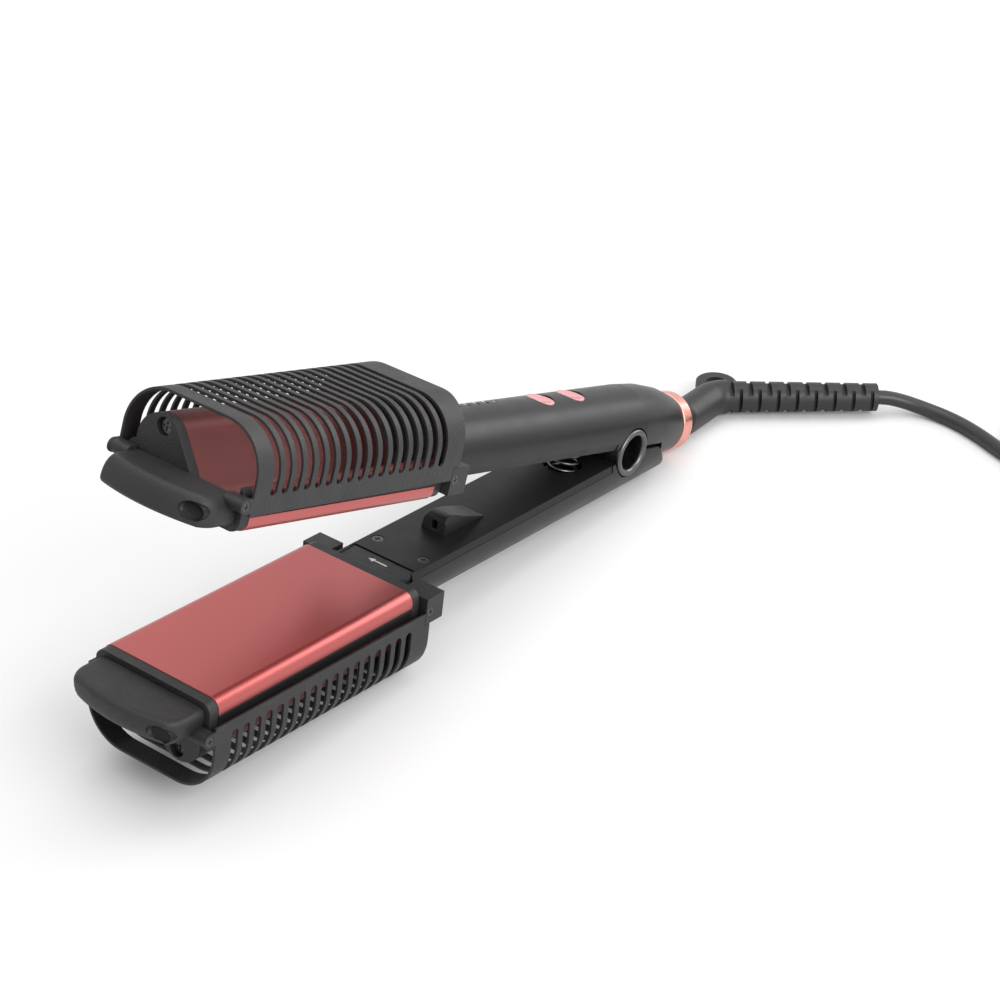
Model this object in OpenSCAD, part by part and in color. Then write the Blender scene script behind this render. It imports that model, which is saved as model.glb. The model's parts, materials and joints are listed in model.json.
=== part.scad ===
// Two-in-one hair waver and straightener.
// Each arm carries a slotted cage with a plate core inside. The core has a flat
// plate on one side and an S-wave plate on the other, and turns half a turn
// about the length of the arm. The lower arm pivots on a hollow hinge tube.
//
// One arm is drawn in "arm space": X runs along the arm with the hinge axis at
// x = 0 and the tip at negative x, Y runs across, and z = 0 is the plane where
// the two plates meet, with the arm itself below it. The upper arm is the same
// space mirrored in z and opened about the hinge.

/* [Opening] */
// Angle between the arms at rest, spring open
open_angle = 13.5; // [12:0.5:15]

/* [Plate core] */
// Width across the plates
plate_w = 55; // [53:0.5:55]
// Length of the heated plates
plate_l = 108; // [100:1:108]
// Distance of the turning axis behind the flat plate
axis_depth = 8.5; // [8:0.1:8.6]
// Rounding of the long edges
plate_edge_r = 4.5; // [3.5:0.1:5]
// Sheet thickness of both plates
sheet = 1.6; // [1.2:0.1:1.8]
// Radius of the hump and of the trough
wave_r = 10; // [9:0.5:10]
// Distance of hump and trough from the middle
wave_y = 14; // [13:0.5:14]
// How far the hump's centre stands past the middle level
wave_rise = 2; // [1:0.5:2]
// Thickness of the moulded end caps
cap_t = 4.5; // [4:0.1:4.6]

/* [Cage] */
// Outer width of the slotted cage
cage_w = 61.5; // [61.5:0.5:62]
// Depth of the cage's front end below the meeting plane
cage_d = 37.8; // [37.8:0.1:39]
// Outer corner radius
cage_r = 17.5; // [15:0.5:18]
// How much the cage deepens towards its rear end, as an angle
cage_tilt = 0.5; // [0:0.1:0.8]
// Wall thickness
cage_wall = 1.1; // [1:0.1:1.1]
// Number of cooling slots
slot_count = 17; // [12:1:17]
// Distance from slot to slot
slot_pitch = 6.1; // [5.5:0.1:6.1]
// Width of a slot
slot_w = 3.4; // [2:0.1:3.4]

/* [Cool tip] */
// Width of the cool tip
tip_w = 50; // [49:1:52]
// How far the tip reaches in front of the cage
tip_l = 20; // [18:1:24]
// Travel of the release button
release_travel = 1.5; // [1:0.1:1.6]

/* [Arms] */
// Radius of the arm's round outer side
arm_r = 16.5; // [16:0.1:17]
// Depth of that radius's centre below the meeting plane
arm_zc = 6.5; // [6:0.1:7]
// Wall thickness of the arm shells
arm_wall = 2; // [1.6:0.1:2.2]
// Depth of the inner cover below the meeting plane
cover_z = 2; // [1.8:0.1:2.2]

/* [Hinge] */
// Outer radius of the hinge tube
tube_r = 8.5; // [8.2:0.1:8.8]
// Radius of the hole through the tube
tube_bore = 7.4; // [6.5:0.1:7.6]
// Radius of the tube's rims
rim_r = 10.3; // [10:0.1:10.4]
// Radius of the hinge knuckles
knuckle_r = 10.4; // [10.4:0.1:10.6]

/* [Handle end] */
// Radius of the end ring
ring_r = 13; // [12.8:0.1:13.2]
// Radius of the swivel collar
collar_r = 8.6; // [8.2:0.1:8.9]
// Button radius
button_r = 6; // [5:0.1:6.5]

/* [Lead] */
// Diameter of the lead
lead_d = 6.4; // [6:0.1:6.6]

/* [Hidden] */
$fn = 64;

// Colours
black = "#2c2c2f";
dark = "#3a3a3d";
rose = "#c4676b";
rose_gold = "#e2a391";
chrome = "#77777c";
steel = "#b9b9bd";
board_green = "#2f6b4a";
ceramic = "#d9d6cc";

// Stations along the arm
front_x = -273.2;              // front face of the core and of the cage
plate_x = front_x + cap_t;     // front end of the plates
plate_end = plate_x + plate_l; // rear end of the plates
core_end = plate_end + cap_t;  // rear face of the core
neck_x = core_end + 0.5;       // front face of the neck
cage_end = -150;               // rear end of the cage
arm_x = -146.9;                // front end of the arm shells
hinge_x = -13;                 // front of the solid hinge block
lower_end = 32.5;              // rear end of the lower arm
tail_x = 25;                   // where the handle starts to close to a full round
ring_x = 46;                   // front face of the end ring
ring_l = 7;                    // width of the end ring
ring_z = -4;                   // axis of ring and collar, in arm space
flange_x = 41;                 // front face of the collar's flange
collar_end = 64;               // rear face of the swivel collar

// Core
half_w = plate_w / 2;
mid_z = -2 * axis_depth;       // level of the wave plate's edges
mesh_gap = 0.3;                // half the gap between two meshing wave plates
hump = [-wave_y, mid_z - wave_rise];
trough = [wave_y, mid_z + wave_rise];
flat_edge = -6.2;              // where the flat plate's sides end
wave_edge = -10.8;             // where the wave plate's sides end
cap_screw_at = [-13, -24.5];
screw_seat = 3.2;              // depth of the cap screw's seat

// Cage, tip and neck
slot_first = -263;             // first slot
slot_top = [14.6, 12.4];       // where the slots end on the upper and on the lower cage
lug_y = 19;                    // inner side of the neck's lugs
lug_z = [-14, -3];             // their bottom and top
lug_end = -145.5;              // their rear end
side_screw_x = [front_x - 3.2, -153.2];
side_screw_z = [-12, -9.1];
release_at = [-19.4, -8];      // middle of the release button
release_x = -287.4;            // face of the release button
release_l = 5;                 // length of the release button
release_w = 8.8;               // its width
release_r = 2.9;               // radius of its ends

// Arms
split_z = 5;                   // depth at which an arm's shell meets its cover
screw_x = -134;                // cover screws
screw_y = 11.3;
spring_x = -27;
spring_seat = 9;               // depth of the spring's seat
button_x = [-56.3, -33.7];
stem_end = -17.6;              // inner end of a button's stem
lamp_x = -110.5;               // first indicator
lamp_pitch = 6.3;
lamp_y = 2.8;
wedge_x = [-114, -87.7];

// Resting pose: the part stands on the cage's rear edge and on the end ring.
ring_foot = opened([ring_x + ring_l, -ring_z - ring_r]);
cage_foot = tilted_point([cage_end, -cage_d]);
pitch = atan2(ring_foot[1] - cage_foot[1], ring_foot[0] - cage_foot[0]);
lift = cage_foot[0] * sin(pitch) - cage_foot[1] * cos(pitch);
shift_x = 114.3;

// Lead: chosen points of its way over the table, in the standing frame
bend_r = 11.8;                 // bend of the strain relief's boot
bend_x = 198.8;                // where that bend starts
rib_count = 8;
rib_turn = 48;
rib_pitch = 8.4;
boot_z = 8;
boot_route = [[181, 0, 7.95], [185, 0, boot_z], [192, 0, boot_z]];
rib_start = [bend_x + bend_r * sin(rib_turn), -bend_r * (1 - cos(rib_turn)), boot_z];
rib_dir = [cos(rib_turn), -sin(rib_turn), 0];
relief_end = rib_start + rib_dir * rib_count * rib_pitch;
loop_at = [214.9, 6.2, boot_z - 1];
loop_r = 9.1;
loop_hole = 4.6;
lead_route = [relief_end, [256.5, -58.2, 7.5], [260.3, -63.2, 6.2], [263.2, -69, 4.8],
    [265, -75.5, 3.8], [265.5, -82, 3.4], [264.6, -90, 3.3], [262.6, -98, 3.3],
    [259.8, -106, 3.3], [256.5, -114, 3.4], [253, -124, 3.5], [249.5, -133.5, 3.7],
    [246, -143.8, 3.8]];
coil_at = [290.5, -160];
coil_in = 20.6;
coil_out = 50.8;
coil_z = [0.6, 13.4];
plug_route = [[244.6, -160, 10.2], [247, -175.8, 13], [254.8, -190, 16.2], [261, -195.8, 16.6],
    [268.4, -199.5, 16.6], [276.5, -201.3, 16.8], [284.9, -200.9, 17.5], [292.8, -198.4, 18.5],
    [299.9, -193.9, 19.4], [304.5, -189, 20], [307, -185.4, 20.3], [310, -180.2, 20.3]];
plug_turn = 60;
plug_l = 36;
plug_w = 35.3;
plug_h = 13.7;
pin_r = 2;
pin_l = 19;
pin_gap = 18.6;

// A point [x, z] of the upper arm, turned about the hinge to its open place.
function opened(p) = [
    p[0] * cos(open_angle) + p[1] * sin(open_angle),
    -p[0] * sin(open_angle) + p[1] * cos(open_angle)
];

// A point [x, z] of the level cage, moved as the cage deepens to the rear.
function tilted_point(p) = [
    front_x + (p[0] - front_x) * cos(cage_tilt) + p[1] * sin(cage_tilt),
    -(p[0] - front_x) * sin(cage_tilt) + p[1] * cos(cage_tilt)
];

// The point of the handle's rear axis at station x, in the standing frame.
function on_tail(x) = let (p = opened([x, -ring_z])) [
    shift_x + p[0] * cos(pitch) + p[1] * sin(pitch), 0,
    lift - p[0] * sin(pitch) + p[1] * cos(pitch)
];

function lamp(i) = lamp_x + lamp_pitch * i;

// ---------- Placing ----------

module lower() {
    translate([shift_x, 0, lift]) rotate([0, pitch, 0]) children();
}

module upper() {
    lower() rotate([0, open_angle, 0]) mirror([0, 0, 1]) children();
}

// The upper core is the lower core turned over, so that humps face troughs.
module upper_core() {
    lower() rotate([0, open_angle, 0]) rotate([180, 0, 0]) children();
}

// Extrude a section drawn as [y, z] from x = a to x = b.
module along_x(a, b) {
    translate([a, 0, 0]) rotate([90, 0, 90]) linear_extrude(b - a) children();
}

// Extrude a side view drawn as [x, z] from y = a to y = b.
module along_y(a, b) {
    translate([0, b, 0]) rotate([90, 0, 0]) linear_extrude(b - a) children();
}

// Spin a profile drawn as [radius, x] about the handle's rear axis.
module about_tail_axis() {
    translate([0, 0, ring_z]) rotate([0, 90, 0]) rotate_extrude() children();
}

// The cage and what fits inside its rear end are turned a little about its mouth.
module tilted() {
    translate([front_x, 0, 0]) rotate([0, cage_tilt, 0]) translate([-front_x, 0, 0]) children();
}

module both_sides() {
    children();
    mirror([0, 1, 0]) children();
}

module rod_x(a, b, r, y = 0, z = 0) {
    translate([a, y, z]) rotate([0, 90, 0]) cylinder(h = b - a, r = r);
}

module rod_y(a, b, r, x = 0, z = 0) {
    translate([x, b, z]) rotate([90, 0, 0]) cylinder(h = b - a, r = r);
}

// ---------- Plate core ----------

// Rounded outline of the core without its wave, drawn in from the edge by inset.
module core_outline(inset) {
    w = half_w - inset;
    r = plate_edge_r - inset;
    y0 = w - r;
    translate([-w, mid_z + plate_edge_r]) square([2 * w, -mid_z - 2 * plate_edge_r]);
    translate([-y0, mid_z + inset]) square([2 * y0, -mid_z - 2 * inset]);
    for (y = [-y0, y0], z = [-plate_edge_r, mid_z + plate_edge_r]) translate([y, z]) circle(r);
}

// Full section of the core: a hump on one side, a trough on the other, and a
// straight flank that touches both.
module core_section(inset) {
    hump_r = wave_r - inset;
    trough_r = wave_r + inset;
    a = [hump[0] + 0.8 * hump_r, hump[1] - 0.6 * hump_r];
    b = [trough[0] - 0.8 * trough_r, trough[1] + 0.6 * trough_r];
    difference() {
        union() {
            core_outline(inset);
            translate(hump) circle(hump_r);
            polygon([a, b, [b[0] - 4, b[1]], hump]);
            translate([hump[0] - hump_r, hump[1]]) square([2 * hump_r, wave_rise + plate_edge_r]);
        }
        translate(trough) circle(trough_r);
        polygon([a, b, trough, [trough[0], mid_z - 14], [a[0], mid_z - 14]]);
        translate([trough[0] - 1, mid_z - 14]) square([trough_r + 1, wave_rise + 14]);
    }
}

module flat_plate() {
    color(rose) along_x(plate_x, plate_end) intersection() {
        difference() {
            core_outline(0);
            core_outline(sheet);
        }
        translate([-half_w - 1, flat_edge]) square([plate_w + 2, 8]);
    }
}

module wave_plate() {
    color(rose) along_x(plate_x, plate_end) intersection() {
        difference() {
            core_section(mesh_gap);
            core_section(mesh_gap + sheet);
        }
        union() {
            translate([-half_w - 1, mid_z - 16]) square([plate_w + 2, 16 - mid_z + wave_edge]);
            translate(trough) circle(wave_r + mesh_gap + sheet + 0.1);
        }
    }
}

module core_rails() {
    color(dark) along_x(plate_x, plate_end) difference() {
        translate([-half_w, wave_edge + 0.2]) square([plate_w, flat_edge - wave_edge - 0.4]);
        translate([-half_w + 2, wave_edge]) square([plate_w - 4, 6]);
    }
}

module end_cap(x) {
    color(black) difference() {
        along_x(x, x + cap_t) core_section(mesh_gap);
        rod_x(x - 1, x + cap_t + 1, 3.05, 0, -axis_depth);
        if (x < plate_x) {
            rod_x(x - 1, x + screw_seat, 3.2, cap_screw_at[0], cap_screw_at[1]);
            rod_x(x - 1, x + cap_t + 1, 1.5, cap_screw_at[0], cap_screw_at[1]);
        }
    }
}

module cap_screw() {
    head_x = front_x + screw_seat - 1.2;
    color(steel) difference() {
        union() {
            rod_x(head_x, head_x + 1.2, 2.7, cap_screw_at[0], cap_screw_at[1]);
            rod_x(head_x + 1, front_x + 12, 1.45, cap_screw_at[0], cap_screw_at[1]);
        }
        rod_x(head_x - 1, head_x + 0.7, 0.9, cap_screw_at[0], cap_screw_at[1]);
    }
}

module flat_heater() {
    color(ceramic) translate([plate_x + 6, -20, -sheet - 1.6]) cube([plate_l - 12, 24, 1.6]);
}

// Aluminium bar that fills the hump and takes the front cap's screw.
module wave_heater() {
    color(steel) difference() {
        along_x(plate_x + 1, plate_end - 1) intersection() {
            translate(hump) circle(wave_r - mesh_gap - sheet - 0.05);
            translate([hump[0] - 8, hump[1] - 8]) square([16, 9]);
        }
        rod_x(plate_x, plate_x + 12, 1.5, cap_screw_at[0], cap_screw_at[1]);
    }
}

module thermal_fuse() {
    top = hump[1] + 1;
    color(chrome) {
        rod_x(-226, -214, 2, hump[0], top + 2);
        rod_x(-234, -206, 0.5, hump[0], top + 2);
        translate([-223, hump[0] - 3, top]) cube([6, 6, 4.4]);
    }
}

// ---------- Cage, tip and neck ----------

// U-shaped section of the cage, open at the top, drawn in from outside by inset.
module cage_section(inset, top) {
    w = cage_w / 2 - inset;
    d = cage_d - inset;
    r = cage_r - inset;
    intersection() {
        union() {
            translate([-w, r - d]) square([2 * w, d - r]);
            translate([r - w, -d]) square([2 * (w - r), d]);
            for (y = [r - w, w - r]) translate([y, r - d]) circle(r);
        }
        translate([-w, -d]) square([2 * w, d - top]);
    }
}

// Plan of the cage: the rear corners are cut back from the flat middle.
module cage_plan() {
    w = cage_w / 2 + 1;
    side_end = cage_end - 3;
    polygon([[-300, -w], [-300, w], [side_end, w], [cage_end, 18], [cage_end, -18], [side_end, -w]]);
}

// A slot through floor and walls, up to the depth top on the walls.
module cage_slot(top) {
    translate([-slot_w / 2, -cage_w, -cage_d - 1])
        cube([slot_w, 2 * cage_w, cage_d + 1 - top - slot_w / 2]);
    rod_y(-cage_w, cage_w, slot_w / 2, 0, -top - slot_w / 2);
}

// Hole and head recess of the side screw in place i, on both sides.
module screw_seats(i) {
    both_sides() {
        rod_y(22, cage_w, 1.2, side_screw_x[i], side_screw_z[i]);
        rod_y(cage_w / 2 - 0.9, cage_w, 2, side_screw_x[i], side_screw_z[i]);
    }
}

module cage(top) {
    color(black) difference() {
        tilted() difference() {
            intersection() {
                union() {
                    along_x(front_x, cage_end) difference() {
                        cage_section(0, 8);
                        cage_section(cage_wall, 7);
                    }
                    both_sides() translate([front_x - 6.5, cage_w / 2 - cage_wall, -15.5])
                        cube([8, cage_wall, 7.5]);
                }
                translate([0, 0, -cage_d - 1]) linear_extrude(cage_d) cage_plan();
            }
            for (i = [0:slot_count - 1])
                translate([slot_first + i * slot_pitch, 0, 0]) cage_slot(top);
        }
        translate([neck_x - 0.3, -cage_w, lug_z[0] - 0.2]) cube([20, 2 * cage_w, 10]);
        screw_seats(0);
    }
}

// Plan of the cool tip: a bowed front with round corners.
module tip_plan(inset) {
    w = tip_w / 2 - inset;
    x0 = front_x - tip_l + inset;
    bow = 70;
    r = 11 - inset;
    intersection() {
        translate([x0 + bow, 0]) circle(bow, $fn = 180);
        translate([x0, -w]) square([tip_l - 0.4 - inset, 2 * w]);
        union() {
            translate([x0 + r, -w]) square([tip_l, 2 * w]);
            translate([x0, -(w - r)]) square([r + 1, 2 * (w - r)]);
            for (y = [-(w - r), w - r]) translate([x0 + r, y]) circle(r, $fn = 48);
        }
    }
}

module oval(l, r) {
    for (y = [-(l / 2 - r), l / 2 - r]) translate([y, 0]) circle(r);
    translate([-(l / 2 - r), -r]) square([l - 2 * r, 2 * r]);
}

module cool_tip() {
    top = -2.5;
    depth = 11;
    color(black) difference() {
        union() {
            hull() {
                translate([0, 0, top - depth + 2.4]) linear_extrude(depth - 4.8) tip_plan(0);
                translate([0, 0, top - depth + 0.7]) linear_extrude(depth - 1.4) tip_plan(0.7);
                translate([0, 0, top - depth]) linear_extrude(depth) tip_plan(2.4);
            }
            both_sides() translate([front_x - 6.5, 22, -14.8])
                cube([6, cage_w / 2 - cage_wall - 22.05, 6]);
        }
        along_x(release_x - 8, release_x + release_l + release_travel + 0.3)
            translate(release_at) oval(release_w + 0.2, release_r + 0.1);
        rod_x(front_x - 6, front_x + 1, 3, 0, -axis_depth);
        screw_seats(0);
    }
}

module release_button() {
    color(dark) difference() {
        along_x(release_x, release_x + release_l) translate(release_at) oval(release_w, release_r);
        translate([release_x - 11.4, release_at[0], release_at[1]]) sphere(12);
    }
}

// Screws that hold the cage in front to the tip's lugs and behind to the neck.
module side_screws() {
    color(steel) both_sides() for (i = [0, 1]) difference() {
        union() {
            rod_y(23, cage_w / 2 - 0.5, 1.15, side_screw_x[i], side_screw_z[i]);
            rod_y(cage_w / 2 - 0.9, cage_w / 2 - 0.1, 1.9, side_screw_x[i], side_screw_z[i]);
        }
        rod_y(cage_w / 2 - 0.6, cage_w / 2 + 1, 0.8, side_screw_x[i], side_screw_z[i]);
    }
}

module pivot_pins() {
    color(steel) {
        rod_x(front_x - 5.9, front_x + 4, 3, 0, -axis_depth);
        difference() {
            rod_x(core_end - 4, neck_x + 7, 3, 0, -axis_depth);
            rod_x(core_end - 5, neck_x + 8, 1.9, 0, -axis_depth);
        }
    }
}

// The neck closes the cage's rear end, carries the core's rear pivot and
// plugs into the arm.
module neck() {
    color(black) difference() {
        union() {
            intersection() {
                tilted() along_x(neck_x - 2, cage_end - 0.3) cage_section(cage_wall + 0.05, 3);
                tilted() translate([0, 0, -cage_d]) linear_extrude(cage_d) cage_plan();
                translate([neck_x, -40, -50]) cube([20, 80, 50]);
            }
            both_sides() translate([neck_x, lug_y, lug_z[0]])
                cube([lug_end - neck_x, cage_w / 2 - 0.1 - lug_y, lug_z[1] - lug_z[0]]);
            both_sides() translate([neck_x + 1.5, 14.4, -4.2]) cube([arm_x - neck_x - 1.6, 1, 2.3]);
            translate([neck_x + 0.5, -14.5, -5]) cube([11, 29, 2.6]);
            along_x(arm_x - 1, arm_x + 6) arm_section(arm_wall + 0.05, split_z + 0.05);
            along_x(cage_end - 2, arm_x) arm_section(0, split_z);
        }
        rod_x(neck_x - 1, neck_x + 7.1, 3, 0, -axis_depth);
        rod_x(neck_x, arm_x + 8, 1.9, 0, -axis_depth);
        screw_seats(1);
    }
}

// ---------- Arms ----------

// Section of an arm: a round cut flat at the depth top, drawn in by inset.
module arm_section(inset, top) {
    intersection() {
        translate([0, -arm_zc]) circle(arm_r - inset);
        translate([-arm_r - 1, -30]) square([2 * arm_r + 2, 30 - top]);
    }
}

module cover_post() {
    bottom = -arm_zc - 12;
    top = -cover_z - 2;
    translate([screw_x, screw_y, bottom]) difference() {
        cylinder(h = top - bottom, r = 2.6);
        translate([0, 0, 4]) cylinder(h = 20, r = 1);
    }
}

// The stretch of arm from the cage to the hinge block, open towards its cover.
module arm_channel() {
    difference() {
        along_x(arm_x, hinge_x) arm_section(0, split_z);
        along_x(arm_x - 1, hinge_x - 2) arm_section(arm_wall, split_z - 1);
    }
    intersection() {
        both_sides() cover_post();
        along_x(arm_x, hinge_x) arm_section(0.5, 0);
    }
}

module tube_hole(gap) {
    rod_y(-30, 30, tube_r + gap);
}

// Round pockets beside the hinge, which leave room for the other arm's knuckle.
module side_pockets(from) {
    both_sides() rod_y(from, 30, knuckle_r + 0.5);
}

module lower_arm_shell() {
    color(black) {
        arm_channel();
        difference() {
            union() {
                intersection() {
                    along_x(hinge_x, lower_end) arm_section(0, cover_z);
                    along_y(-20, 20) polygon([[hinge_x, -cover_z], [10, -cover_z], [21, -4.2],
                        [lower_end, -19.5], [lower_end - 1, -21.3], [20, -23.1], [hinge_x, -30]]);
                }
                both_sides() rod_y(10.3, 14.7, knuckle_r);
            }
            rod_y(-10.3, 10.3, knuckle_r + 0.6);
            side_pockets(14.7);
            tube_hole(0.02);
        }
    }
}

// Stations of the handle's rear end: [x, radius, depth of the centre].
tail = [[8, arm_r, arm_zc], [22, 16.1, 6.2], [35, 14.9, 5.2], [ring_x, 12.7, -ring_z]];

module tail_disc(i) {
    rod_x(tail[i][0] - 0.01, tail[i][0], tail[i][1], 0, -tail[i][2]);
}

module upper_handle_shell() {
    color(black) difference() {
        union() {
            arm_channel();
            difference() {
                union() {
                    along_x(hinge_x, 8) arm_section(0, cover_z);
                    for (i = [0:2]) hull() {
                        tail_disc(i);
                        tail_disc(i + 1);
                    }
                }
                along_y(-20, 20) polygon([[hinge_x - 1, -cover_z], [tail_x, -cover_z],
                    [tail_x + 14, 12], [hinge_x - 1, 12]]);
                side_pockets(9.9);
            }
            rod_y(-9.9, 9.9, knuckle_r);
        }
        tube_hole(0.06);
        for (x = button_x) translate([x, 0, -30]) cylinder(h = 20, r = button_r + 0.1);
        for (i = [0:3]) translate([lamp(i) - 0.65, lamp_y - 1.75, -26]) cube([1.3, 3.5, 7]);
        translate([lamp(4), lamp_y, -26]) cylinder(h = 7, r = 1);
        rod_x(flange_x - 0.6, ring_x + 1, 10.2, 0, ring_z);
        rod_x(32, flange_x, lead_d / 2 + 0.2, 0, ring_z);
    }
}

// The cover closes an arm's inner side; a cup in it seats the spring.
module inner_cover(slotted) {
    color(dark) difference() {
        union() {
            along_x(arm_x + 0.3, hinge_x - 0.3) difference() {
                polygon([[-15.5, -cover_z], [15.5, -cover_z], [16.3, -split_z], [-16.3, -split_z]]);
                translate([-13.9, -split_z - 1]) square([27.8, split_z - cover_z - 1]);
            }
            translate([spring_x, 0, -spring_seat - 1.5])
                cylinder(h = spring_seat + 1.5 - cover_z - 0.5, r = 9.5);
        }
        translate([spring_x, 0, -spring_seat]) cylinder(h = spring_seat, r = 8.2);
        both_sides() translate([screw_x, screw_y, 0]) {
            translate([0, 0, -10]) cylinder(h = 10, r = 1.4);
            translate([0, 0, -cover_z - 1.1]) cylinder(h = 3, r = 2.6);
        }
        if (slotted) translate([wedge_x[0] - 3, -6.9, -8])
            cube([wedge_x[1] - wedge_x[0] + 6, 13.8, 8]);
        translate([arm_x - 1, -14.7, -8]) cube([4.3, 29.4, 8]);
    }
}

module cover_screws() {
    color(steel) both_sides() translate([screw_x, screw_y, 0]) difference() {
        union() {
            translate([0, 0, -cover_z - 1.1]) cylinder(h = 0.9, r = 2.4);
            translate([0, 0, -11]) cylinder(h = 8.2, r = 0.95);
        }
        translate([0, 0, -cover_z - 0.8]) cylinder(h = 1, r = 0.8);
    }
}

// Wedge that centres the upper arm as the iron closes.
module centring_wedge() {
    color(dark) difference() {
        intersection() {
            along_y(-5.9, 5.9) polygon([[wedge_x[0], -cover_z], [-112.8, 3.6], [-111.4, 4.7],
                [-109.5, 4.9], [-106.5, 4.5], [-101, 2.6], [wedge_x[1], -cover_z]]);
            along_x(-115, -87) polygon([[-5.9, -cover_z - 1], [5.9, -cover_z - 1], [5.6, 2.2],
                [4, 5.2], [-4, 5.2], [-5.6, 2.2]]);
        }
        along_x(-116, -110) {
            translate([-1.3, -0.6]) square([2.6, 2]);
            translate([0, 1.4]) circle(1.3);
        }
    }
}

module hinge_tube() {
    rim_at = 14.75;
    color(chrome) rotate([90, 0, 0]) rotate_extrude() difference() {
        union() {
            translate([tube_bore, -17]) square([tube_r - tube_bore, 34]);
            for (s = [0, 1]) mirror([0, s]) {
                translate([tube_bore, rim_at]) square([rim_r - tube_bore - 0.9, 2.4]);
                translate([tube_bore, rim_at]) square([rim_r - tube_bore, 1.5]);
                translate([rim_r - 0.9, rim_at + 1.5]) circle(0.9);
            }
        }
        for (s = [-1, 1]) translate([tube_bore, s * 17.6]) rotate(45) square(1.4, center = true);
    }
}

// Compression spring, drawn half way between the two arms' planes.
module opening_spring() {
    turns = 6.5;
    reach = 10.6;
    per_turn = 16;
    steps = per_turn * turns;
    color(steel) lower() rotate([0, open_angle / 2, 0]) translate([spring_x + 0.9, 0, 0])
        tube([for (i = [0:steps]) [6 * cos(360 * i / per_turn), 6 * sin(360 * i / per_turn),
            -reach + 2 * reach * i / steps]], [for (i = [0:steps]) 0.7], 6);
}

// ---------- Controls ----------

module press_button(x) {
    face = -arm_zc - arm_r + 0.5;
    color(rose) difference() {
        union() {
            translate([x, 0, face]) cylinder(h = stem_end - face, r = button_r);
            translate([x, 0, stem_end - 1.2]) cylinder(h = 1.2, r = button_r + 1);
        }
        translate([x, 0, face - 17.25]) sphere(18);
    }
}

// Circuit board with a switch under each button, its controller and a capacitor.
module control_board() {
    board_z = -15.4;
    color(board_green) translate([-112, -11.3, board_z]) cube([96, 22.6, 1.4]);
    color(steel) for (x = button_x)
        translate([x - 2.5, -2.5, board_z - 1.3]) cube([5, 5, 1.5]);
    color(dark) {
        translate([-76, -6, board_z + 1.2]) cube([8, 8, 1.8]);
        translate([-84, -8, board_z + 1.2]) cube([5, 3, 3]);
        rod_x(-100, -88, 3.2, 3, board_z + 4.4);
    }
}

// Clear light guide behind the shell, with a peg in each window.
module indicator_lights() {
    color("white") {
        translate([lamp(0) - 1.5, lamp_y - 2.2, -19.9]) cube([lamp_pitch * 4 + 3, 4.4, 1.1]);
        for (i = [0:3]) translate([lamp(i) - 0.6, lamp_y - 1.7, -22.5]) cube([1.2, 3.4, 3]);
        translate([lamp(4), lamp_y, -22.5]) cylinder(h = 3, r = 0.95);
        for (i = [0, 4]) translate([lamp(i) - 1, lamp_y - 1, -19]) cube([2, 2, 3.6]);
    }
}

// ---------- Handle end and lead ----------

module end_ring() {
    inner = collar_r + 0.08;
    color(rose_gold) about_tail_axis() difference() {
        union() {
            translate([inner, ring_x + 0.1]) square([ring_r - inner, ring_l - 0.1]);
            translate([inner, ring_x - 1.7]) square([10.15 - inner, 3]);
        }
        for (x = [ring_x + 0.1, ring_x + ring_l]) translate([ring_r, x]) rotate(45)
            square(0.7, center = true);
    }
}

module swivel_collar() {
    bore = lead_d / 2 + 0.4;
    color(black) about_tail_axis() {
        translate([bore, flange_x]) square([9.8 - bore, 2.8]);
        translate([bore, flange_x]) square([collar_r - bore, collar_end - flange_x - 0.8]);
        translate([bore, flange_x]) square([collar_r - 0.8 - bore, collar_end - flange_x]);
        translate([collar_r - 0.8, collar_end - 0.8]) circle(0.8);
    }
}

function unit(v) = v / norm(v);
function side_of(d) = unit(cross([0, 0, 1], d));
function heading(p, i) =
    i == 0 ? unit(p[1] - p[0]) :
    i == len(p) - 1 ? unit(p[i] - p[i - 1]) :
    unit(unit(p[i] - p[i - 1]) + unit(p[i + 1] - p[i]));

// A round tube swept along the points p, with a radius for each point.
module tube(p, r, sides) {
    last = len(p) - 1;
    rings = [for (i = [0:last]) let (d = heading(p, i), u = side_of(d), v = cross(d, u))
        for (k = [0:sides - 1]) let (t = 360 * k / sides)
            p[i] + r[i] * (cos(t) * u + sin(t) * v)];
    walls = [for (i = [0:last - 1], k = [0:sides - 1]) let (m = (k + 1) % sides)
        [i * sides + k, (i + 1) * sides + k, (i + 1) * sides + m, i * sides + m]];
    start = [for (k = [0:sides - 1]) k];
    end = [for (k = [sides - 1:-1:0]) last * sides + k];
    polyhedron(rings, concat([start], walls, [end]));
}

module lead_tube(p) {
    color(black) tube(p, [for (q = p) lead_d / 2], 10);
}

// Notches of the ribbed part: over and under, then on both sides, in turn.
module rib_notches() {
    web = 3.6;
    for (i = [0:rib_count - 1], s = [0, 1]) mirror([0, 0, s])
        translate([i * rib_pitch + 0.2, -10, web]) cube([2.4, 20, 10]);
    for (i = [0:rib_count - 1], s = [0, 1]) mirror([0, s, 0])
        translate([i * rib_pitch + 4.7, web, -10]) cube([1.6, 10, 20]);
}

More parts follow.
